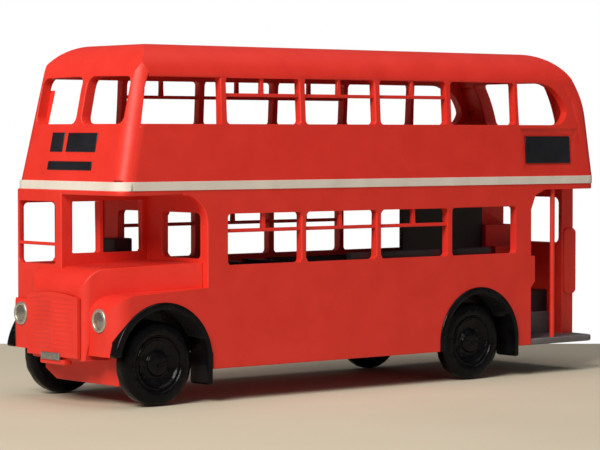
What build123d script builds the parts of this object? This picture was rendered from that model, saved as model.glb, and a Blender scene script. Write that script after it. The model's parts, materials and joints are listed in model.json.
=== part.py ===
from build123d import *
import os

os.makedirs("parts", exist_ok=True)

# A small printed model of a half-cab double decker bus, 1:76, in millimetres.
# X runs along the bus (front at -X), Y across it (platform side, "near", at -Y), Z up from the ground.

# ---- driving dimensions -------------------------------------------------------------------------
front_x = -52.34           # flat front of the cab and canopy
nose_x = -55.1             # foremost point, the radiator surround
rear_x = 55.2              # rear wall, outer face at the band
half_width = 15.54         # body side at and below the band
wall = 1.57                # side walls and roof
front_wall = 1.6
rear_wall = 3.0
roof_z = 58.42             # crown of the roof
skirt_z = 5.48             # lower edge of the side panels
floor_z = 11.5             # saloon floor, upper face
floor_thick = 1.4
platform_z = 6.6           # rear platform, upper face
band_z = (34.7, 36.13)     # pale band at the foot of the upper deck
band_front_x = -52.2
band_proud = 0.12
canopy_z = 33.9            # underside of the canopy over the bonnet
front_corner = 1.9         # plan radii of the lower body's corners
rear_corner = 2.0

front_axle_x = -44.3
rear_axle_x = 24.62
wheel_radius = 6.9
wheel_face_y = 14.8        # outer face of each wheel
front_wheel_width = 3.2
rear_wheel_width = 2.8
axle_radius = 1.0
axle_play = 0.05

# ---- helpers ------------------------------------------------------------------------------------


def block(x, y, z):
    """Box between (low, high) pairs."""
    size = (x[1] - x[0], y[1] - y[0], z[1] - z[0])
    centre = ((x[0] + x[1]) / 2, (y[0] + y[1]) / 2, (z[0] + z[1]) / 2)
    return Pos(*centre) * Box(*size)


def rod_y(x, z, radius, y):
    """Cylinder along Y between y[0] and y[1]."""
    return Pos(x, (y[0] + y[1]) / 2, z) * Rot(90, 0, 0) * Cylinder(radius, y[1] - y[0])


def rod_x(y, z, radius, x):
    """Cylinder along X between x[0] and x[1]."""
    return Pos((x[0] + x[1]) / 2, y, z) * Rot(0, 90, 0) * Cylinder(radius, x[1] - x[0])


def side_prism(points, y):
    """Prism of a straight-sided outline in the XZ plane, between y[0] and y[1]."""
    face = make_face(Polyline(*[(px, 0, pz) for px, pz in points], close=True))
    return Pos(0, y[0], 0) * extrude(face, y[1] - y[0], dir=(0, 1, 0))


def plan_prism(points, z):
    """Prism of a straight-sided outline seen from above, between z[0] and z[1]."""
    face = make_face(Polyline(*[(px, py, z[0]) for px, py in points], close=True))
    return extrude(face, z[1] - z[0], dir=(0, 0, 1))


def round_window(x, z, radius, y):
    """Opening with four rounded corners, cut along Y."""
    sheet = Rectangle(x[1] - x[0], z[1] - z[0])
    sheet = Pos((x[0] + x[1]) / 2, 0, (z[0] + z[1]) / 2) * Rot(90, 0, 0) * sheet
    sheet = fillet(sheet.vertices(), radius)
    return Pos(0, y[0], 0) * extrude(sheet, y[1] - y[0], dir=(0, 1, 0))


def round_window_x(y, z, radius, x):
    """Opening with four rounded corners, cut along X."""
    sheet = Rectangle(z[1] - z[0], y[1] - y[0])
    sheet = Pos(0, (y[0] + y[1]) / 2, (z[0] + z[1]) / 2) * Rot(0, 90, 0) * sheet
    sheet = fillet(sheet.vertices(), radius)
    return Pos(x[0], 0, 0) * extrude(sheet, x[1] - x[0], dir=(1, 0, 0))


def plan_sheet(front, rear, half, r_front, r_rear, z):
    """Body outline seen from above, at height z."""
    sheet = Pos((front + rear) / 2, 0, z) * Rectangle(rear - front, 2 * half)
    sheet = fillet(sheet.vertices().sort_by(Axis.X)[:2], r_front)
    return fillet(sheet.vertices().sort_by(Axis.X)[-2:], r_rear)


def towards(start, corner, share):
    """Point a share of the way from start to corner."""
    return tuple(a + share * (b - a) for a, b in zip(start, corner))


def crown(start, corner, end):
    """Smooth curve that rounds off a corner between two straight lines."""
    return Bezier(start, towards(start, corner, 0.55), towards(end, corner, 0.55), end)


def save(node, shape):
    shape.label = node
    export_step(shape, f"parts/{node}.step")


# ---- body shells --------------------------------------------------------------------------------
# Each envelope takes how far its side, front and rear lie inside the outer skin.


def lower_envelope(side, front, rear, z):
    """Solid of the lower deck's plan outline."""
    sheet = plan_sheet(front_x + front, rear_x - rear, half_width - side,
                       front_corner - min(side, 1.5), rear_corner - min(side, 1.5), z[0])
    return extrude(sheet, z[1] - z[0])


upper_front_x = -52.0      # foot of the upper front, on the band
upper_front_wall = 2.0
front_slope = 0.212        # how much the upper front leans back for each mm of height
front_tilt = 11.97         # the same in degrees
rear_slope = 0.13
side_slope = 0.058
side_tilt = 3.32
upper_corner = (2.8, 3.2)  # plan radius of the upper front corners, at the band and at the roof
upper_rear_corner = (1.9, 1.4)
# how far each rounded edge of the roof reaches down the wall and in along the top
front_brow = (7.85, 5.5)
rear_brow = (16.3, 9.6)
side_brow = (5.7, 6.9)
envelope_z = (band_z[1] - 2.0, roof_z + 2.0)


def front_at(z, inset=0.0):
    return upper_front_x + inset + front_slope * (z - band_z[1])


def rear_at(z, inset=0.0):
    return rear_x - inset - rear_slope * (z - band_z[1])


def half_at(z, inset=0.0):
    return half_width - inset - side_slope * (z - band_z[1])


def upper_long_view(side, front, rear):
    """The upper deck's outline seen from the side, extruded right across."""
    low, top = envelope_z[0], roof_z - side
    front_down, front_in = (reach - side for reach in front_brow)
    rear_down, rear_in = (reach - side for reach in rear_brow)
    front_foot = (front_at(top - front_down, front), 0, top - front_down)
    front_top = (front_at(top, front), 0, top)
    rear_foot = (rear_at(top - rear_down, rear), 0, top - rear_down)
    rear_top = (rear_at(top, rear), 0, top)
    front_end = (front_top[0] + front_in, 0, top)
    rear_end = (rear_top[0] - rear_in, 0, top)
    face = make_face(Curve() + [
        Line((front_at(low, front), 0, low), front_foot),
        crown(front_foot, front_top, front_end),
        Line(front_end, rear_end),
        crown(rear_end, rear_top, rear_foot),
        Line(rear_foot, (rear_at(low, rear), 0, low)),
        Line((rear_at(low, rear), 0, low), (front_at(low, front), 0, low))])
    return extrude(face, 30, both=True, dir=(0, 1, 0))


def upper_end_view(side):
    """The upper deck's outline seen from the end, extruded right along."""
    low, top = envelope_z[0], roof_z - side
    down, across = (reach - side for reach in side_brow)
    foot, corner = (0, half_at(top - down, side), top - down), (0, half_at(top, side), top)
    end = (0, corner[1] - across, top)
    right = Curve() + [Line((0, 0, low), (0, half_at(low, side), low)),
                       Line((0, half_at(low, side), low), foot),
                       crown(foot, corner, end),
                       Line(end, (0, 0, top)),
                       Line((0, 0, top), (0, 0, low))]
    half = extrude(make_face(right), 80, both=True, dir=(1, 0, 0))
    return half + mirror(half, Plane.XZ)


def upper_envelope(side, front, rear):
    """Solid of the upper deck and roof: a tapered plan, cut to the long view and the end view."""
    soften = min(side, 0.8)
    corners = zip(envelope_z, upper_corner, upper_rear_corner)
    tapered = loft([
        plan_sheet(front_at(z, front), rear_at(z, rear), half_at(z, side), f - soften, r - soften, z)
        for z, f, r in corners])
    return tapered & upper_long_view(side, front, rear) & upper_end_view(side)


upper_shell = upper_envelope(0, 0, 0) - upper_envelope(wall, upper_front_wall, rear_wall)
lower_z = (skirt_z, band_z[0])
lower_shell = lower_envelope(0, 0, 0, lower_z) - lower_envelope(wall, front_wall, rear_wall, (0, 60))

# ---- windows ------------------------------------------------------------------------------------
bay = 16.69                # pitch of the windows
window_width = 15.62
window_radius = 0.7
lower_sill, lower_head = 22.3, 30.75
upper_sill, upper_head = 45.4, 52.95
lower_first_x = -30.98     # front edge of the first lower window
upper_second_x = -30.7     # front edge of the second upper window
bar_thick = 0.6
upright_width = 0.7        # the post in the middle of each top light
lower_bar_z, upper_bar_z = 27.94, 50.15
bar_depth = (0.4, 1.1)     # how far inside the outer skin the bars lie
near_cut, off_cut = (-20, -8), (8, 20)

bulkhead_x = (-35.1, -33.7)
waist_front_x = -34.0      # front edge of the waist panels
entrance_x = 38.6          # front edge of the open rear entrance
entrance_head = 33.7
entrance_curve = 3.6
rear_wall_near_y = -9.8    # the rear wall stops here, beside the open platform
panel_top = lower_sill - 0.6

lower_openings = [(lower_first_x + bay * i, lower_first_x + bay * i + window_width) for i in range(4)]
upper_openings = [(upper_second_x + bay * i, upper_second_x + bay * i + window_width) for i in range(4)]


def top_lights(openings, y, bar_z, head):
    """A bar across each opening, with a short post from it up to the window's head."""
    bars = []
    for x in openings:
        middle = (x[0] + x[1]) / 2
        bar = block(x, y, (bar_z - bar_thick / 2, bar_z + bar_thick / 2))
        bar += block((middle - upright_width / 2, middle + upright_width / 2), y, (bar_z, head))
        bars.append(bar)
    return Compound(bars)


# ---- wheel arches -------------------------------------------------------------------------------
arch_thick = 1.1
arch_step = 0.6            # the liner behind the lip is this much smaller
arch_centre_z = 7.0
arch_face_y = 15.9
arch_lip_y = half_width - wall
arch_deep_y = 11.0
arch_back = 0.3            # plate that closes the arch behind the wheel
arch_back_z = 8.3
# end: centre x, outer radius, lowest z of the front leg, lowest z of the rear leg
arches = {
    "front": (-43.98, 9.8, 8.3, 2.95),
    "rear": (25.7, 9.55, skirt_z, 3.7),
}


def arch_space(x, radius, y):
    """A round arch with straight sides below it."""
    return rod_y(x, arch_centre_z, radius, y) + block((x - radius, x + radius), y, (-1, arch_centre_z))


def arch_cutter(end, y):
    """Everything inside the arch's outer edge."""
    x, radius = arches[end][:2]
    return arch_space(x, radius, y)


cutters = arch_cutter("front", (-20, 20)) + arch_cutter("rear", (-20, 20))

# ---- lower deck ---------------------------------------------------------------------------------
wing_top_z = (18.1, 18.8)  # the near wing's upper face behind its brow and at the bulkhead
waist_near = lower_shell & block((waist_front_x, entrance_x), (-20, -12), (skirt_z, panel_top))
waist_near += lower_shell & block((bulkhead_x[0], waist_front_x), (-20, -12), (wing_top_z[1], panel_top))
waist_near -= cutters
pillar_swell = side_prism([(entrance_x, 16.0), (entrance_x + 1.0, 17.0), (entrance_x + 1.0, panel_top),
                           (entrance_x, panel_top)], (-half_width, -half_width + wall))
save("waist_panel_near", waist_near + pillar_swell)

cab_low_z = 17.0           # the cab stands on the off wing from here up
waist_off = lower_shell & block((waist_front_x, rear_x - rear_wall), (12, 20), (skirt_z, panel_top))
waist_off += lower_shell & block((bulkhead_x[0], waist_front_x), (12, 20), (cab_low_z, panel_top))
waist_off -= cutters
save("waist_panel_off", waist_off)

cut_out_radius = 5.0       # rounded rear corner of the cut-out above the bonnet
frame_near = lower_shell & block((bulkhead_x[0] - cut_out_radius, 60), (-20, rear_wall_near_y),
                                 (panel_top, band_z[0]))
frame_near -= round_window((-70, bulkhead_x[0]), (5, canopy_z), cut_out_radius, near_cut)
for x in lower_openings:
    frame_near -= round_window(x, (lower_sill, lower_head), window_radius, near_cut)
entrance = [(entrance_x, 0), (entrance_x, entrance_head - entrance_curve),
            (entrance_x + 0.3 * entrance_curve, entrance_head - 0.3 * entrance_curve),
            (entrance_x + entrance_curve, entrance_head), (70, entrance_head), (70, 0)]
frame_near -= side_prism(entrance, (-20, rear_wall_near_y))
save("lower_windows_near", frame_near)

frame_off = lower_shell & block((bulkhead_x[0], rear_x - rear_wall), (12, 20), (panel_top, band_z[0]))
for x in lower_openings:
    frame_off -= round_window(x, (lower_sill, lower_head), window_radius, off_cut)
save("lower_windows_off", frame_off)

for side, sign in (("near", -1), ("off", 1)):
    y = sorted(sign * (half_width - depth) for depth in bar_depth)
    save(f"lower_window_bars_{side}", top_lights(lower_openings[:3], y, lower_bar_z, lower_head))

# ---- bonnet -------------------------------------------------------------------------------------
cab_inner_y = 1.34         # near face of the cab's inner wall
cab_floor_z = 17.9
bonnet_top_z = 22.2
bonnet_half = 7.9          # half width of the nose
nose_low_z = 7.3
nose_face_x = nose_x + 0.6
nose_back_x = -49.4
nose_corner = 2.0          # plan radius of the nose's corners
bonnet_start = (-50.5, 0, bonnet_top_z)
chassis_top_z = floor_z - floor_thick
brow_foot = (nose_face_x, 0, 18.1)
bonnet_view = make_face(Curve() + [
    Line((nose_face_x, 0, nose_low_z), brow_foot),
    crown(brow_foot, (nose_face_x, 0, bonnet_top_z), bonnet_start),
    Polyline(bonnet_start, (bulkhead_x[0], 0, bonnet_top_z + 0.7), (bulkhead_x[0], 0, chassis_top_z),
             (nose_back_x, 0, chassis_top_z), (nose_back_x, 0, nose_low_z), (nose_face_x, 0, nose_low_z))])
bonnet = extrude(bonnet_view, 20, both=True, dir=(0, 1, 0))
nose_plan = make_face(Polyline((nose_face_x, -bonnet_half, 0), (nose_face_x, bonnet_half, 0),
                               (bulkhead_x[0], bonnet_half, 0), (bulkhead_x[0], -14.2, 0), close=True))
nose_plan = fillet(nose_plan.vertices().sort_by(Axis.X)[:2], nose_corner)
bonnet &= extrude(nose_plan, 40, dir=(0, 0, 1))
bonnet -= block((front_x + front_wall, 0), (cab_inner_y, 20), (cab_floor_z, 40))
bonnet -= block((front_x, 0), (cab_inner_y, 20), (bonnet_top_z, 40))
bonnet -= arch_cutter("front", (-20, -bonnet_half)) + arch_cutter("front", (bonnet_half, 20))
save("bonnet", bonnet)

# ---- cab ----------------------------------------------------------------------------------------
cab_inner_thick = 1.3
cab_corner_z = 16.4        # lower edge of the cab's front corner
windscreen = ((2.95, 13.95), (22.4, 32.75))
screen_thick = 0.8         # the front wall is thinner around the windscreen
cab_light_z = (22.3, 32.3)
cab_rear_x = front_x + front_corner
cab = lower_shell & block((-60, bulkhead_x[0]), (cab_inner_y, 20), (cab_corner_z, band_z[0]))
for x in ((-51.3, -44.2), (-43.2, -35.4)):
    cab -= round_window(x, cab_light_z, 0.8, off_cut)
cab_front = cab & block((-60, cab_rear_x), (-20, 20), (0, 60))
cab_front -= bonnet
cab_front -= block((front_x + screen_thick, 0), (2.64, half_width - wall), (22.4, 32.9))
cab_front -= round_window_x(*windscreen, 0.8, (-60, -45))
save("cab_front", cab_front)
save("cab_side_off", cab & block((cab_rear_x, 0), (12, 20), (cab_low_z, 60)))
cab_floor_x = (front_x + 2.0, bulkhead_x[0])
save("cab_floor", block(cab_floor_x, (bonnet_half, half_width - wall), (cab_low_z, cab_floor_z)))
inner_y = (cab_inner_y, cab_inner_y + cab_inner_thick)
inner = block((front_x + front_wall, bulkhead_x[0]), inner_y, (cab_floor_z, band_z[0]))
for x in ((-50.1, -44.77), (-44.0, -36.0)):
    inner -= round_window(x, (24.2, 32.8), 0.3, (0, 5))
save("cab_inner_wall", inner)
save("windscreen_bar", block((front_x + 0.1, front_x + 0.7), windscreen[0], (25.46, 26.0)))
save("driver_seat", block((-39.9, -36.1), (4.1, 9.0), (cab_floor_z, 26.3)))

bulkhead = block(bulkhead_x, (-half_width + wall, half_width - wall), (floor_z, band_z[0]))
for y in ((-13.5, -2.9), (1.64, 9.8)):
    bulkhead -= round_window_x(y, (23.4, 30.9), 0.9, (-60, 0))
bulkhead -= arch_cutter("front", (-20, 20))
save("bulkhead", bulkhead)
canopy = lower_envelope(0, 0, 0, (canopy_z, band_z[0]))
canopy &= block((-60, bulkhead_x[0]), (-20, cab_inner_y), (0, 60))
save("canopy", canopy - frame_near)

# ---- radiator, wings and lamps ------------------------------------------------------------------
grille_half, grille_z, grille_arch = 7.3, (7.8, 17.5), 0.7
with BuildSketch(Plane.YZ) as surround:
    with BuildLine():
        Polyline((-grille_half, grille_z[1]), (-grille_half, grille_z[0]), (grille_half, grille_z[0]),
                 (grille_half, grille_z[1]))
        ThreePointArc((grille_half, grille_z[1]), (0, grille_z[1] + grille_arch),
                      (-grille_half, grille_z[1]))
    make_face()
surround_width, slat_depth = 0.8, 0.16
recess = offset(surround.sketch, -surround_width)
grille = extrude(surround.sketch, nose_face_x - nose_x, dir=(1, 0, 0))
grille -= extrude(recess, slat_depth, dir=(1, 0, 0))
grille = Pos(nose_x, 0, 0) * grille
grille += block((nose_x, nose_face_x), (-0.35, 0.35), (grille_z[0] + 0.4, grille_z[1]))
slats, slat_pitch, slat_height = 11, 0.74, 0.34
for i in range(slats):
    z = grille_z[0] + 1.2 + slat_pitch * i
    grille += block((nose_x + 0.05, nose_face_x), (-6.0, 6.0), (z, z + slat_height))
save("grille", grille)

wing_front_x = -53.4
wing_low_z = 8.3
wing_brow_z = 14.8         # the front face starts to lean back here
wing_brow = 4.4            # and reaches the top this far behind it
wing_round = 3.0           # the same for the outer front edge, seen from above
lamp_radius, lamp_z, lamp_proud, lamp_sunk = 1.95, 14.0, 0.3, 0.7
# side: direction, upper face behind the brow and at the bulkhead, lamp centre y
wings = {"near": (-1, wing_top_z[0], wing_top_z[1], -11.0), "off": (1, 17.4, 17.4, 11.65)}
liner_radius = arches["front"][1] - arch_step
for side, (sign, front_top, rear_top, lamp_y) in wings.items():
    brow_start, brow_end = (wing_front_x, 0, wing_brow_z), (wing_front_x + wing_brow, 0, front_top)
    wing_view = make_face(Curve() + [
        Line((wing_front_x, 0, wing_low_z), brow_start),
        crown(brow_start, (wing_front_x, 0, front_top), brow_end),
        Polyline(brow_end, (bulkhead_x[0], 0, rear_top), (waist_front_x, 0, rear_top),
                 (waist_front_x, 0, wing_low_z), (wing_front_x, 0, wing_low_z))])
    wing = extrude(wing_view, 20, both=True, dir=(0, 1, 0))
    inner, outer = sign * (bonnet_half - 1.0), sign * half_width
    round_start, round_end = (wing_front_x, outer - sign * wing_round, 0), (wing_front_x + wing_round, outer, 0)
    wing_plan = make_face(Curve() + [
        Line((wing_front_x, inner, 0), round_start),
        crown(round_start, (wing_front_x, outer, 0), round_end),
        Polyline(round_end, (0, outer, 0), (0, inner, 0), (wing_front_x, inner, 0))])
    wing &= extrude(wing_plan, 40, dir=(0, 0, 1))
    wing -= block((bulkhead_x[0], 0), (-half_width + wall, half_width - wall), (0, 40))
    wing -= arch_cutter("front", sorted((sign * arch_lip_y, sign * 20)))
    wing -= arch_space(arches["front"][0], liner_radius, (-arch_lip_y, arch_lip_y))
    wing -= bonnet
    if side == "off":
        wing -= block((front_x, 0), (0, 20), (cab_low_z, 40))
        wing -= block((front_x, cab_rear_x), (0, 20), (cab_corner_z, 40))
    lamp_x = (wing_front_x - lamp_proud, wing_front_x + lamp_sunk)
    lamp = rod_x(lamp_y, lamp_z, lamp_radius, lamp_x)
    save(f"wing_{side}", wing - lamp)
    lamp -= rod_x(lamp_y, lamp_z, lamp_radius - 0.4, (lamp_x[0], lamp_x[1] - 0.3))
    save(f"headlamp_{side}", lamp)
    lens = rod_x(lamp_y, lamp_z, lamp_radius - 0.45, (lamp_x[0] + 0.05, lamp_x[1] - 0.3))
    save(f"headlamp_lens_{side}", lens)

save("plate_bracket", block((nose_x, nose_face_x + 1.0), (-3.5, 3.5), (6.45, nose_low_z)))
save("number_plate", block((nose_x - 0.3, nose_x), (-2.4, 2.9), (7.2, 8.4)))

valance_low_z = 3.2
valance_points = [(-10.6, chassis_top_z), (-10.6, valance_low_z), (7.3, valance_low_z), (10.6, 4.8),
                  (10.6, chassis_top_z)]
valance_back_x = nose_back_x + 1.2
valance = make_face(Polyline(*[(nose_back_x, y, z) for y, z in valance_points], close=True))
valance = extrude(valance, valance_back_x - nose_back_x, dir=(1, 0, 0)) - bonnet
valance -= arch_cutter("front", (-20, -11)) + arch_cutter("front", (11, 20))
save("front_valance", valance)

# ---- arches -------------------------------------------------------------------------------------
for end, (x, radius, front_low, rear_low) in arches.items():
    for side, sign in (("near", -1), ("off", 1)):
        ring = arch_space(x, radius, sorted((sign * arch_face_y, sign * arch_lip_y)))
        ring += arch_space(x, radius - arch_step, sorted((sign * arch_lip_y, sign * arch_deep_y)))
        ring -= arch_space(x, radius - arch_thick, (-20, 20))
        back_y = sorted((sign * arch_deep_y, sign * (arch_deep_y + arch_back)))
        ring += arch_space(x, radius - arch_step, back_y) - block((-80, 80), (-20, 20), (-20, arch_back_z))
        ring -= block((x - 20, x), (-20, 20), (-20, front_low))
        ring -= block((x, x + 20), (-20, 20), (-20, rear_low))
        save(f"arch_{end}_{side}", ring)

# ---- floors and chassis -------------------------------------------------------------------------
riser_thick = 1.0          # the upright face between the saloon floor and the platform
saloon_x = (bulkhead_x[0], entrance_x + 1.2)
saloon_half = half_width - wall
saloon = block(saloon_x, (-saloon_half, saloon_half), (chassis_top_z, floor_z))
riser_x = saloon_x[1] - riser_thick
saloon += block((riser_x, saloon_x[1]), (-saloon_half, saloon_half), (platform_z, chassis_top_z))
for end in arches:
    for y in ((-20, -arch_deep_y), (arch_deep_y, 20)):
        saloon -= arch_cutter(end, y)
save("saloon_floor", saloon)

chassis_half, chassis_low_z = 9.4, 8.4
carrier_low_z, carrier_half_length = 4.6, 2.4
chassis = block((valance_back_x, riser_x), (-chassis_half, chassis_half), (chassis_low_z, chassis_top_z))
for x in (front_axle_x, rear_axle_x):
    chassis += block((x - carrier_half_length, x + carrier_half_length), (-chassis_half, chassis_half),
                     (carrier_low_z, chassis_low_z))
    chassis -= rod_y(x, wheel_radius, axle_radius + axle_play, (-20, 20))
save("chassis", chassis)

platform = lower_envelope(0, 0, 0, (skirt_z, platform_z)) & block((entrance_x, 60), (-20, 20), (0, 60))
save("platform", platform - waist_off)
pole_x, pole_y, pole_radius = 44.8, -14.6, 0.45
pole_z = (platform_z + entrance_head) / 2
save("platform_pole", Pos(pole_x, pole_y, pole_z) * Cylinder(pole_radius, entrance_head - platform_z))

rear_window = ((-8.9, 8.9), (23.4, 32.0))
rear_panel = lower_shell & block((rear_x - rear_wall, 60), (rear_wall_near_y, 20), (platform_z, band_z[0]))
swell = side_prism([(52.5, 14.6), (53.1, 14.0), (55.0, 14.0), (55.6, 14.6), (55.6, 25.6), (55.0, 26.2),
                    (53.1, 26.2), (52.5, 25.6)], (rear_wall_near_y - 0.4, rear_wall_near_y + 1.2))
rear_panel += swell
rear_panel -= round_window_x(*rear_window, 1.2, (40, 60))
save("rear_wall", rear_panel)

# ---- inside -------------------------------------------------------------------------------------
# the stairs rise from the platform towards the off side, along the rear wall
stair_x = (45.4, rear_x - rear_wall)
stair_risers = (-6.3, -5.9, -1.8, 0.9, 3.6, 5.9)
stair_far_y = saloon_half - 0.5
rise = (band_z[0] - platform_z) / (len(stair_risers) + 1)
flight = Part()
for i, riser_y in enumerate(stair_risers):
    step = block(stair_x, (riser_y, stair_far_y), (platform_z + rise * i, platform_z + rise * (i + 1)))
    if i == 0:
        save("platform_step", step)
    elif i == 1:
        save("stair_step", step)
    else:
        flight += step
save("staircase", flight)
partition_y = (4.6, 5.6)
partition = block((25.2, stair_x[0]), partition_y, (floor_z, band_z[0]))
partition += block((saloon_x[1], stair_x[0]), partition_y, (platform_z, floor_z))
save("stair_partition", partition)

# transverse seats ahead, a long bench along each side behind
seat_base_z, seat_back_z = 16.5, 21.5
seat_pitch, seat_depth, seat_rows = 7.6, 4.4, 4
bench_depth, bench_back_depth, bench_base_z = 4.9, 1.1, 17.5
# side: direction, bench front x, bench rear x, top of the bench's back
benches = {"near": (-1, -3.2, 30.0, 23.5), "off": (1, 0.6, 24.6, seat_back_z)}
for side, (sign, bench_front, bench_rear, back_z) in benches.items():
    outer = sign * (saloon_half - 0.1)
    y = sorted((sign * 5.0, outer))
    seats = []
    for i in range(seat_rows):
        x = saloon_x[0] + 4.0 + seat_pitch * i
        seats.append(block((x, x + seat_depth), y, (floor_z, seat_base_z))
                     + block((x + seat_depth - 1.0, x + seat_depth), y, (floor_z, seat_back_z)))
    bench_x = (bench_front, bench_rear)
    bench = block(bench_x, sorted((outer, outer - sign * bench_depth)), (floor_z, bench_base_z))
    bench += block(bench_x, sorted((outer, outer - sign * bench_back_depth)), (floor_z, back_z))
    seats.append(bench - arch_cutter("rear", (-20, -arch_deep_y)) - arch_cutter("rear", (arch_deep_y, 20)))
    save(f"seats_{side}", Compound(seats))

# ---- upper deck ---------------------------------------------------------------------------------
band_ring = 0.62           # width of the pale band around the deck


def band_sheet(inset):
    """Outline of the band, or of the deck inside it."""
    return plan_sheet(band_front_x + inset, rear_x + band_proud - inset, half_width + band_proud - inset,
                      2.6 - inset, rear_corner + band_proud - inset, band_z[0])


deck_blank = extrude(band_sheet(band_ring), band_z[1] - band_z[0])
save("upper_floor", deck_blank - block((stair_x[0], stair_x[1] - 0.8), (0.9, 8.2), (0, 60)))
save("band", extrude(band_sheet(0), band_z[1] - band_z[0]) - deck_blank)

upper_split = upper_sill - 0.6
roof_split = upper_head + 0.65
inside = upper_long_view(wall, upper_front_wall, rear_wall)
walls = upper_shell & block((-80, 80), (-30, 30), (band_z[1], roof_split))
sides = walls & inside
ends = walls - inside
save("roof", upper_shell & block((-80, 80), (-30, 30), (roof_split, 70)))


def on_front(y, z, low, high):
    """Plate lying in the leaning front face, from low to high mm behind it."""
    middle_y, middle_z = (y[0] + y[1]) / 2, (z[0] + z[1]) / 2
    plate = Pos((low + high) / 2, 0, 0) * Box(high - low, y[1] - y[0], z[1] - z[0])
    return Pos(front_at(middle_z), middle_y, middle_z) * Rot(0, front_tilt, 0) * plate


blind_proud, blind_depth = 0.12, 0.3
front_blinds = ((2.9, 6.5), (40.8, 44.05)), ((-6.5, 1.9), (40.8, 44.0)), ((-6.25, 6.4), (37.85, 39.35))
upper_front = ends & block((-80, 0), (-30, 30), (0, 80))
for y in ((-12.6, -0.85), (0.7, 12.3)):
    upper_front -= round_window_x(y, (upper_sill, upper_head + 0.1), 1.3, (-70, -40))
for y, z in front_blinds:
    upper_front -= on_front(y, z, -5.0, blind_depth)
save("upper_front", upper_front)
save("front_blinds", Compound([on_front(y, z, -blind_proud, blind_depth) for y, z in front_blinds]))

upper_rear = ends & block((0, 80), (-30, 30), (0, 80))
upper_rear -= round_window_x((-9.2, 9.2), (upper_sill, 53.2), 0.9, (40, 70))
save("upper_rear", upper_rear)

# a tray with sloping borders in the near side holds the blank blind
tray_x, tray_z = (37.4, 49.5), (38.2, 43.7)
tray_depth, tray_border = 0.7, 1.5
blind_x, blind_z, blind_thick = (37.8, 49.1), (38.5, 43.4), 0.25
tray_middle_z = (tray_z[0] + tray_z[1]) / 2


def on_near_side(shape):
    """Move a shape made about the origin into the leaning near face, at the middle of the tray."""
    return Pos(0, -half_at(tray_middle_z), tray_middle_z) * Rot(-side_tilt, 0, 0) * shape


def tray_sheet(depth):
    """The tray's outline at a depth inside the skin."""
    spread = 2 * tray_border * (1 - depth / tray_depth)
    sheet = Rectangle(tray_x[1] - tray_x[0] + spread, tray_z[1] - tray_z[0] + spread)
    return Pos((tray_x[0] + tray_x[1]) / 2, depth, 0) * Rot(90, 0, 0) * sheet


tray = on_near_side(loft([tray_sheet(-0.3), tray_sheet(tray_depth)]))
blind_sheet = block(blind_x, (tray_depth - blind_thick, tray_depth),
                    (blind_z[0] - tray_middle_z, blind_z[1] - tray_middle_z))
save("rear_blind", on_near_side(blind_sheet))

first_light = [(-47.8, upper_sill), (-46.5, upper_head), (upper_second_x - 1.07, upper_head),
               (upper_second_x - 1.07, upper_sill)]
# the rounded rear quarter light: front edge, then points round its outline
quarter_x = 35.85
top_end, shoulder, back = (41.0, 0, upper_head), (45.8, 0, 51.3), (48.2, 0, 47.9)
lower_turn, sill_end = (47.4, 0, 46.3), (44.9, 0, upper_sill)
quarter_light = make_face(Curve() + [
    Polyline(sill_end, (quarter_x, 0, upper_sill), (quarter_x, 0, upper_head), top_end),
    ThreePointArc(top_end, shoulder, back),
    ThreePointArc(back, lower_turn, sill_end)])
quarter_cut = extrude(quarter_light, 20, both=True, dir=(0, 1, 0))
for side, sign, cut in (("near", -1, near_cut), ("off", 1, off_cut)):
    panel = sides & block((-80, 80), cut, (band_z[1], upper_split))
    if side == "near":
        panel -= tray
    save(f"upper_panel_{side}", panel)
    frame = sides & block((-80, 80), cut, (upper_split, roof_split))
    frame -= side_prism(first_light, cut)
    for x in upper_openings:
        frame -= round_window(x, (upper_sill, upper_head), window_radius, cut)
    frame -= quarter_cut
    save(f"upper_windows_{side}", frame)
    bar_y = sorted(sign * (half_width - 0.8 - depth) for depth in bar_depth)
    save(f"upper_window_bars_{side}", top_lights(upper_openings[:3], bar_y, upper_bar_z, upper_head))

# ---- wheelsets ----------------------------------------------------------------------------------
tyre_edge, rim_radius, rim_recess, hub_radius = 0.6, 4.3, 0.8, 1.7
for end, x, width in (("front", front_axle_x, front_wheel_width), ("rear", rear_axle_x, rear_wheel_width)):
    inner_face = wheel_face_y - width
    save(f"{end}_axle", rod_y(x, wheel_radius, axle_radius, (-inner_face, inner_face)))
    for side, sign in (("near", -1), ("off", 1)):
        y = sorted((sign * inner_face, sign * wheel_face_y))
        wheel = rod_y(x, wheel_radius, wheel_radius, y)
        wheel = fillet(wheel.edges().filter_by(GeomType.CIRCLE), tyre_edge)
        rim_y = sorted((sign * (wheel_face_y - rim_recess), sign * (wheel_face_y + 1)))
        wheel -= rod_y(x, wheel_radius, rim_radius, rim_y)
        hub_y = sorted((sign * (wheel_face_y - 1.5), sign * (wheel_face_y - 0.2)))
        wheel += rod_y(x, wheel_radius, hub_radius, hub_y)
        save(f"{end}_wheel_{side}", wheel)
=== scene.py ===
import json
import math

import bmesh
import bpy
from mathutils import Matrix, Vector, noise
from mathutils.bvhtree import BVHTree


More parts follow.
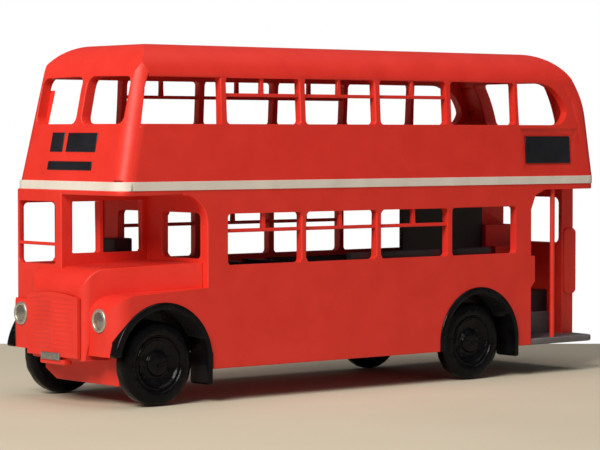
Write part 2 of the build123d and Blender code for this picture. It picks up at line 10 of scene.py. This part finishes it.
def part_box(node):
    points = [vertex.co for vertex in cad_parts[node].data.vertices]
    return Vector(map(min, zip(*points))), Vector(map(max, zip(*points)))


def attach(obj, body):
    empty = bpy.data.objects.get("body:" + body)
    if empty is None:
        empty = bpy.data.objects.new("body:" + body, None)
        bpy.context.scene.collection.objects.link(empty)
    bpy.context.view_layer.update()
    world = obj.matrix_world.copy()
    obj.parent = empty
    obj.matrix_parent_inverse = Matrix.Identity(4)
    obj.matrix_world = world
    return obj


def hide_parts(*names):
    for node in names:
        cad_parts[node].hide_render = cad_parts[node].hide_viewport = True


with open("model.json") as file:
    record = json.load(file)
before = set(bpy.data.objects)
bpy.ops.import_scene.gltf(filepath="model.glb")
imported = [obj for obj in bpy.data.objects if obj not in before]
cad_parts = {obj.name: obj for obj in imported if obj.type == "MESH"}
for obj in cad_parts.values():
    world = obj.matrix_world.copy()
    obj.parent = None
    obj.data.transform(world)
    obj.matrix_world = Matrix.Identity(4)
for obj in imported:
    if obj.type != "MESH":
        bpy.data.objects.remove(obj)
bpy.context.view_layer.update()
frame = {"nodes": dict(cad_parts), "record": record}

# A small printed model of a half-cab double decker bus. Sizes are in millimetres, multiplied by MM
# where they become mesh: -X is the front, -Y the platform side, +Z up.
MM = 0.001
nodes = frame["nodes"]


def box_mm(node):
    """(lowest corner, highest corner) of a CAD node, in millimetres."""
    low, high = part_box(node)
    return low / MM, high / MM


# ---- materials -----------------------------------------------------------------------------------


def shade(name, roughness, metallic=0.0, specular=0.5, coat=0.0, coat_roughness=0.08):
    """A new material: (material, node tree, principled shader, coordinates output in metres)."""
    material = bpy.data.materials.new(name)
    material.use_nodes = True
    tree = material.node_tree
    shader = tree.nodes["Principled BSDF"]
    shader.inputs["Roughness"].default_value = roughness
    shader.inputs["Metallic"].default_value = metallic
    shader.inputs["Specular IOR Level"].default_value = specular
    shader.inputs["Coat Weight"].default_value = coat
    shader.inputs["Coat Roughness"].default_value = coat_roughness
    place = tree.nodes.new("ShaderNodeTexCoord").outputs["Object"]
    return material, tree, shader, place


def math_node(tree, operation, a, b=None, c=None):
    """Result of a math operation on numbers or other nodes' outputs."""
    node = tree.nodes.new("ShaderNodeMath")
    node.operation = operation
    for socket, value in zip(node.inputs, (a, b, c)):
        if value is None:
            continue
        if isinstance(value, (int, float)):
            socket.default_value = value
        else:
            tree.links.new(value, socket)
    return node.outputs[0]


def noise_node(tree, place, size_mm, detail=3.0):
    """Noise whose blotches are about size_mm across."""
    mapping = tree.nodes.new("ShaderNodeMapping")
    mapping.inputs["Scale"].default_value = [1 / (size_mm * MM)] * 3
    tree.links.new(place, mapping.inputs["Vector"])
    texture = tree.nodes.new("ShaderNodeTexNoise")
    texture.inputs["Scale"].default_value = 1.0
    texture.inputs["Detail"].default_value = detail
    tree.links.new(mapping.outputs[0], texture.inputs["Vector"])
    return texture.outputs["Fac"]


def ramp_node(tree, factor, *stops):
    """Colour ramp of (position, colour) stops."""
    node = tree.nodes.new("ShaderNodeValToRGB")
    elements = node.color_ramp.elements
    while len(elements) < len(stops):
        elements.new(0.5)
    for element, (position, colour) in zip(elements, stops):
        element.position = position
        element.color = (*colour, 1)
    tree.links.new(factor, node.inputs[0])
    return node.outputs[0]


def bump_chain(tree, shader, *layers):
    """Bumps of (height output, depth in mm, strength), one on the other."""
    normal = None
    for height, depth_mm, strength in layers:
        bump = tree.nodes.new("ShaderNodeBump")
        bump.inputs["Distance"].default_value = depth_mm * MM
        bump.inputs["Strength"].default_value = strength
        tree.links.new(height, bump.inputs["Height"])
        if normal is not None:
            tree.links.new(normal, bump.inputs["Normal"])
        normal = bump.outputs[0]
    tree.links.new(normal, shader.inputs["Normal"])


LAYER_MM = 0.32            # height of one printed layer
WAVER_MM = 0.10            # how far the layers stray up and down


def layer_lines(tree, place):
    """The print's layers: a fine wave up the height, wavering a little along the part."""
    split = tree.nodes.new("ShaderNodeSeparateXYZ")
    tree.links.new(place, split.inputs[0])
    waver = math_node(tree, "MULTIPLY", noise_node(tree, place, 14, 1.0), WAVER_MM * MM)
    height = math_node(tree, "ADD", split.outputs["Z"], waver)
    phase = math_node(tree, "MULTIPLY", height, 2 * math.pi / (LAYER_MM * MM))
    return math_node(tree, "SINE", phase)


def printed(name, dark, light, roughness, relief=0.004):
    """Painted printed plastic: mottled colour, layer lines and a slightly gritty skin."""
    material, tree, shader, place = shade(name, roughness, specular=0.42)
    mottle = noise_node(tree, place, 5.0, 4.0)
    colour = ramp_node(tree, mottle, (0.30, dark), (0.72, light))
    tree.links.new(colour, shader.inputs["Base Color"])
    grime = noise_node(tree, place, 2.2, 2.0)
    gloss = math_node(tree, "MULTIPLY_ADD", grime, 0.16, roughness - 0.08)
    tree.links.new(gloss, shader.inputs["Roughness"])
    bump_chain(
        tree, shader,
        (noise_node(tree, place, 3.0, 2.0), 0.03, 0.35),
        (noise_node(tree, place, 0.35, 2.0), 0.010, 0.5),
        (layer_lines(tree, place), relief, 0.6),
    )
    return material


def brushed_gloss(name, colour, roughness, lump_mm, lump_depth):
    """Thick brushed gloss paint: lumps and pinholes that catch the light."""
    material, tree, shader, place = shade(
        name, roughness, specular=0.12, coat=0.03, coat_roughness=0.10)
    blotch = noise_node(tree, place, 2.5, 3.0)
    tint = ramp_node(tree, blotch, (0.35, colour), (0.75, [c * 1.7 + 0.002 for c in colour]))
    tree.links.new(tint, shader.inputs["Base Color"])
    bump_chain(
        tree, shader,
        (noise_node(tree, place, lump_mm, 3.0), lump_depth, 0.8),
        (noise_node(tree, place, lump_mm / 4, 2.0), lump_depth / 4, 0.7),
    )
    return material


RED = printed("print_red", (0.70, 0.028, 0.016), (0.77, 0.036, 0.023), 0.44)
CREAM = printed("band_paint", (0.70, 0.65, 0.60), (0.80, 0.76, 0.71), 0.42, relief=0.002)
BLACK_GLOSS = brushed_gloss("arch_gloss", (0.002, 0.002, 0.003), 0.24, 1.6, 0.07)
WHEEL_BLACK = brushed_gloss("wheel_gloss", (0.001, 0.001, 0.002), 0.24, 1.0, 0.12)
# The seats' own black paint. Through its slot in model.json it is also the stair partition's
# finish, and there it is painted shade: the partition is a red wall deep in shadow inside the lower
# saloon, given black in place of that shadow.
SEAT_BLACK_AND_PAINTED_SHADE = printed("seat_black", (0.006, 0.006, 0.008), (0.014, 0.014, 0.018), 0.40)
PLATFORM_GREY = printed("platform_grey", (0.10, 0.095, 0.105), (0.17, 0.16, 0.175), 0.48)
BLIND_BLACK = printed("blind_black", (0.006, 0.006, 0.009), (0.014, 0.014, 0.020), 0.30)


def silver_paint(name, dark, light, roughness):
    """Metallic paint with a fine fleck."""
    material, tree, shader, place = shade(name, roughness, metallic=0.75)
    fleck = noise_node(tree, place, 0.25, 2.0)
    tree.links.new(ramp_node(tree, fleck, (0.3, dark), (0.7, light)), shader.inputs["Base Color"])
    bump_chain(tree, shader, (noise_node(tree, place, 0.5, 2.0), 0.02, 0.6))
    return material


SILVER = silver_paint("silver_paint", (0.40, 0.37, 0.32), (0.66, 0.63, 0.56), 0.38)
LENS = silver_paint("lens_paint", (0.20, 0.19, 0.17), (0.42, 0.41, 0.37), 0.22)
PLATE = silver_paint("plate_paint", (0.20, 0.20, 0.19), (0.45, 0.44, 0.42), 0.34)
STEEL = silver_paint("axle_steel", (0.42, 0.42, 0.43), (0.55, 0.55, 0.56), 0.30)

FINISH = {
    "body_red": RED, "band_cream": CREAM, "arch_black": BLACK_GLOSS, "wheel_black": WHEEL_BLACK,
    "axle_steel": STEEL, "lamp_silver": SILVER, "lamp_lens": LENS, "plate_silver": PLATE,
    "platform_grey": PLATFORM_GREY, "seat_black": SEAT_BLACK_AND_PAINTED_SHADE, "blind_black": BLIND_BLACK,
}
SLOT_OF = {p["node"]: p["material_slot"] for p in frame["record"]["subparts"]}
BODIES = frame["record"]["behaviour"]["bodies"]
BODY_OF = {node: body for body, members in BODIES.items() for node in members}
for name, node in nodes.items():
    node.data.materials.clear()
    node.data.materials.append(FINISH[SLOT_OF[name]])

# ---- pieces --------------------------------------------------------------------------------------


def finish_piece(name, bm, node, *more_nodes, smooth_angle=40.0):
    """Makes a bmesh a visible piece that stands for one or more CAD nodes."""
    bmesh.ops.recalc_face_normals(bm, faces=bm.faces)
    mesh = bpy.data.meshes.new(name)
    bm.to_mesh(mesh)
    bm.free()
    mesh.polygons.foreach_set("use_smooth", [True] * len(mesh.polygons))
    mesh.set_sharp_from_angle(angle=math.radians(smooth_angle))
    piece = bpy.data.objects.new(name, mesh)
    bpy.context.scene.collection.objects.link(piece)
    weighted = piece.modifiers.new("even_faces", "WEIGHTED_NORMAL")
    weighted.keep_sharp = True
    mesh.materials.append(FINISH[SLOT_OF[node]])
    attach(piece, BODY_OF[node])
    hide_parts(node, *more_nodes)


all_nodes = bmesh.new()
for node in nodes.values():
    all_nodes.from_mesh(node.data)
neighbours = BVHTree.FromBMesh(all_nodes)
all_nodes.free()


FLUSH_REACH = 0.12 * MM    # how far past an edge a flush neighbour is looked for
TOUCH_REACH = 0.15 * MM    # how near a piece stands when it closes off an edge
TOUCH_BACK, TOUCH_LIFT = 0.02 * MM, 0.05 * MM
SAME_WAY = 0.7             # least cosine between faces that count as one surface


def runs_on(point, outward, normal):
    """Whether another piece continues the surface flush past an edge."""
    start = point + outward * FLUSH_REACH + normal * FLUSH_REACH
    hit = neighbours.ray_cast(start, -normal, 1.5 * FLUSH_REACH)
    return hit[0] is not None and hit[1].dot(normal) > SAME_WAY


def runs_into(point, outward, normal):
    """Whether a piece stands right against an edge, so that rounding it would open a crack."""
    start = point - outward * TOUCH_BACK + normal * TOUCH_LIFT
    return neighbours.ray_cast(start, outward, TOUCH_REACH)[0] is not None


def free_edges(bm, sharp):
    """Convex edges sharper than an angle in degrees that no other piece continues or closes off."""
    found = []
    for edge in bm.edges:
        if len(edge.link_faces) != 2 or not edge.is_convex:
            continue
        if edge.calc_face_angle() < math.radians(sharp):
            continue
        middle = (edge.verts[0].co + edge.verts[1].co) / 2
        along = (edge.verts[1].co - edge.verts[0].co).normalized()
        joined = False
        for face in edge.link_faces:
            outward = along.cross(face.normal)
            if outward.dot(middle - face.calc_center_median()) < 0:
                outward = -outward
            joined = joined or runs_on(middle, outward, face.normal)
            joined = joined or runs_into(middle, outward, face.normal)
        if not joined:
            found.append(edge)
    return found


SHARP_DEGREES = 32.0       # edges sharper than this are rounded
EDGE_SEGMENTS = 3
WELD = 0.0005 * MM
FLAT_DEGREES = 0.8         # faces closer than this in direction become one
SLAT_RELIEF = 0.4          # the slats stand this much of their modelled depth above the recess
SLAT_ZONE = 0.3 * MM       # depth behind the grille's face that holds the slats


def soften(node, width_mm):
    """A copy of a CAD node with its free edges rounded and its joints left closed."""
    bm = bmesh.new()
    bm.from_mesh(nodes[node].data)
    if node == "grille":
        face = box_mm(node)[0].x * MM
        for vert in bm.verts:
            if vert.co.x - face < SLAT_ZONE:
                vert.co.x = face + (vert.co.x - face) * SLAT_RELIEF
    bmesh.ops.remove_doubles(bm, verts=bm.verts, dist=WELD)
    bmesh.ops.dissolve_limit(
        bm, angle_limit=math.radians(FLAT_DEGREES), verts=bm.verts, edges=bm.edges)
    bmesh.ops.recalc_face_normals(bm, faces=bm.faces)
    bmesh.ops.bevel(
        bm, geom=free_edges(bm, SHARP_DEGREES), offset=width_mm * MM, offset_type="OFFSET",
        segments=EDGE_SEGMENTS, profile=0.5, affect="EDGES", clamp_overlap=False, loop_slide=False)
    finish_piece(node + "_soft", bm, node)


# edge width in mm: nodes that get it; the nodes not named here stay as the CAD model has them
EDGE = {
    0.22: ["upper_front", "upper_rear", "upper_panel_near", "upper_panel_off", "upper_windows_near",
           "upper_windows_off", "lower_windows_near", "lower_windows_off", "waist_panel_near",
           "waist_panel_off", "cab_front", "cab_side_off", "cab_inner_wall", "bulkhead", "canopy",
           "rear_wall", "front_valance", "stair_partition", "plate_bracket", "driver_seat",
           "staircase", "seats_near", "seats_off", "stair_step", "platform_step", "platform_pole",
           "bonnet"],
    0.4: ["arch_front_near", "arch_front_off", "arch_rear_near", "arch_rear_off"],
    0.12: ["lower_window_bars_near", "lower_window_bars_off", "upper_window_bars_near",
           "upper_window_bars_off", "windscreen_bar", "number_plate", "front_blinds", "rear_blind"],
    0.3: ["platform"],
    0.05: ["band"],
    0.03: ["grille"],
}
for width, names in EDGE.items():
    for name in names:
        soften(name, width)

# ---- wheels and lamps ----------------------------------------------------------------------------
noise.seed_set(1)          # the noise is seeded from the clock unless it is set


LUMP_SHIFT = 0.37          # moves the noise with the wheel, so that no two wheels are lumpy alike


def lathe(profile, axis, centre_mm, segments, lump_mm=0.0, lump_size_mm=1.0):
    """Closed ring of (radius, height) mm points turned about an axis; lumps push them about."""
    bm = bmesh.new()
    turn = Vector((0, 0, 1)).rotation_difference(axis).to_matrix()
    rings = []
    for step in range(segments):
        angle = 2 * math.pi * step / segments
        ring = []
        for radius, height in profile:
            spot = Vector((radius * math.cos(angle), radius * math.sin(angle), height))
            if lump_mm:
                push = noise.noise_vector((spot + Vector(centre_mm) * LUMP_SHIFT) / lump_size_mm)
                spot += push * lump_mm
            ring.append(bm.verts.new((turn @ spot + Vector(centre_mm)) * MM))
        rings.append(ring)
    count = len(profile)
    for a, b in zip(rings, rings[1:] + rings[:1]):
        for i in range(count):
            j = (i + 1) % count
            bm.faces.new((a[i], a[j], b[j], b[i]))
    return bm


def rounded(points, radius, steps=3):
    """Closed outline with every corner rounded by short straight pieces."""
    out = []
    for i, point in enumerate(points):
        here = Vector(point)
        before, after = Vector(points[i - 1]) - here, Vector(points[(i + 1) % len(points)]) - here
        reach = min(radius, before.length * 0.45, after.length * 0.45)
        start, end = here + before.normalized() * reach, here + after.normalized() * reach
        for k in range(steps + 1):
            t = k / steps
            out.append(tuple((1 - t) ** 2 * start + 2 * t * (1 - t) * here + t ** 2 * end))
    return out


TYRE_RADIUS = 6.85
HUB_CENTRE = 0.02          # radius of the pinhole where a turned outline closes on its axis
WHEEL_WIDTH = {"front_wheel_near": 3.2, "front_wheel_off": 3.2,
               "rear_wheel_near": 2.8, "rear_wheel_off": 2.8}
WHEEL_SEGMENTS, LAMP_SEGMENTS, LENS_SEGMENTS = 96, 64, 48
WHEEL_LUMP, WHEEL_LUMP_SIZE = 0.07, 0.75
WHEEL_CORNER, RIM_CORNER = 0.45, 0.24
for node, width in WHEEL_WIDTH.items():
    low, high = box_mm(node)
    side = 1 if node.endswith("off") else -1
    half = width / 2 - 0.05
    # radius and height outward: inner face, tread, sidewall, rim lip, dish, hub
    outline = [
        (HUB_CENTRE, -half), (5.6, -half), (TYRE_RADIUS - 0.1, -half * 0.75), (TYRE_RADIUS, 0.0),
        (TYRE_RADIUS - 0.1, half * 0.75), (5.7, half), (4.7, half - 0.05), (4.45, half - 0.5),
        (4.1, half - 0.1), (3.6, half - 0.75), (2.1, half - 0.9), (1.9, half - 0.3),
        (HUB_CENTRE, half - 0.2)]
    bm = lathe(rounded(outline, WHEEL_CORNER), Vector((0, side, 0)), (low + high) / 2,
               WHEEL_SEGMENTS, WHEEL_LUMP, WHEEL_LUMP_SIZE)
    finish_piece(node + "_lumpy", bm, node, smooth_angle=60)

FORWARD = Vector((-1, 0, 0))
RIM_OUTLINE = [(1.35, -0.02), (1.93, -0.02), (1.93, -0.95), (1.35, -0.95)]
LENS_OUTLINE = [(HUB_CENTRE, -0.06), (0.5, -0.08), (1.0, -0.16), (1.3, -0.26), (1.48, -0.4),
                (1.48, -0.45), (HUB_CENTRE, -0.45)]
for side in ("near", "off"):
    lamp, lens = f"headlamp_{side}", f"headlamp_lens_{side}"
    low, high = box_mm(lamp)
    centre = (low + high) / 2
    centre.x = low.x
    rim = lathe(rounded(RIM_OUTLINE, RIM_CORNER, 4), FORWARD, centre, LAMP_SEGMENTS)
    finish_piece(lamp + "_rim", rim, lamp)
    finish_piece(lens + "_dome", lathe(LENS_OUTLINE, FORWARD, centre, LENS_SEGMENTS), lens)

# ---- floor, light, camera ------------------------------------------------------------------------
TABLE_NEAR, TABLE_FAR, TABLE_SIDE = -900.0, 80.0, 900.0      # mm along and across the view
AIM_MM = (0, 0, 25)        # the lights point here
AMBIENT = 0.11             # brightness of the surroundings, apart from the white behind the bus
VIEW_AZIMUTH = -39.421     # degrees
VIEW_PITCH = 2.102
CAMERA_MM = (-276.715, -332.981, 43.650)
FOCAL_PX = 2459.785
FRAME_PX = 600
SENSOR = 36.0


def plane(name, corners, material):
    """A flat stage piece between four corners in mm."""
    mesh = bpy.data.meshes.new(name)
    mesh.from_pydata([[c * MM for c in corner] for corner in corners], [], [(0, 1, 2, 3)])
    mesh.materials.append(material)
    piece = bpy.data.objects.new(name, mesh)
    bpy.context.scene.collection.objects.link(piece)
    return piece


def table_paint():
    material, tree, shader, place = shade("table_paint", 0.75, specular=0.2)
    cloud = noise_node(tree, place, 60.0, 3.0)
    colour = ramp_node(tree, cloud, (0.3, (0.58, 0.53, 0.42)), (0.7, (0.62, 0.57, 0.46)))
    tree.links.new(colour, shader.inputs["Base Color"])
    bump_chain(tree, shader, (noise_node(tree, place, 1.5, 3.0), 0.02, 0.5))
    return material


a = math.radians(VIEW_AZIMUTH)
forward = Vector((-math.sin(a), math.cos(a), 0))
across = Vector((math.cos(a), math.sin(a), 0))
reach = ((TABLE_NEAR, -TABLE_SIDE), (TABLE_NEAR, TABLE_SIDE),
         (TABLE_FAR, TABLE_SIDE), (TABLE_FAR, -TABLE_SIDE))
corners = [forward * f + across * s for f, s in reach]
plane("table", corners, table_paint())


def softbox(name, place_mm, size_mm, watts, colour):
    """A rectangular light aimed at the bus."""
    lamp = bpy.data.lights.new(name, "AREA")
    lamp.shape = "RECTANGLE"
    lamp.size, lamp.size_y = (s * MM for s in size_mm)
    lamp.energy = watts
    lamp.color = colour
    thing = bpy.data.objects.new(name, lamp)
    bpy.context.scene.collection.objects.link(thing)
    thing.location = Vector(place_mm) * MM
    towards = Vector(AIM_MM) - Vector(place_mm)
    thing.rotation_euler = towards.to_track_quat("-Z", "Y").to_euler()


softbox("key_front", (-530, -225, 427), (300, 300), 4.9, (1.0, 0.93, 0.84))
softbox("fill_side", (160, -700, 200), (500, 300), 0.12, (0.86, 0.90, 1.0))
softbox("top", (0, -60, 620), (500, 400), 1.3, (1.0, 0.97, 0.94))

world = bpy.data.worlds.new("studio")
bpy.context.scene.world = world
world.use_nodes = True
tree = world.node_tree
background = tree.nodes["Background"]
rays = tree.nodes.new("ShaderNodeLightPath")
strength = math_node(tree, "MULTIPLY_ADD", rays.outputs["Is Camera Ray"], 1.0 - AMBIENT, AMBIENT)
background.inputs["Color"].default_value = (1, 1, 1, 1)
tree.links.new(strength, background.inputs["Strength"])

lens = bpy.data.cameras.new("camera")
lens.sensor_width = SENSOR
lens.lens = SENSOR * FOCAL_PX / FRAME_PX
lens.clip_start, lens.clip_end = 0.01, 10
camera = bpy.data.objects.new("camera", lens)
bpy.context.scene.collection.objects.link(camera)
camera.location = Vector(CAMERA_MM) * MM
camera.rotation_euler = (math.radians(90 - VIEW_PITCH), 0, math.radians(VIEW_AZIMUTH))
bpy.context.scene.camera = camera
bpy.context.scene.view_settings.view_transform = "Standard"
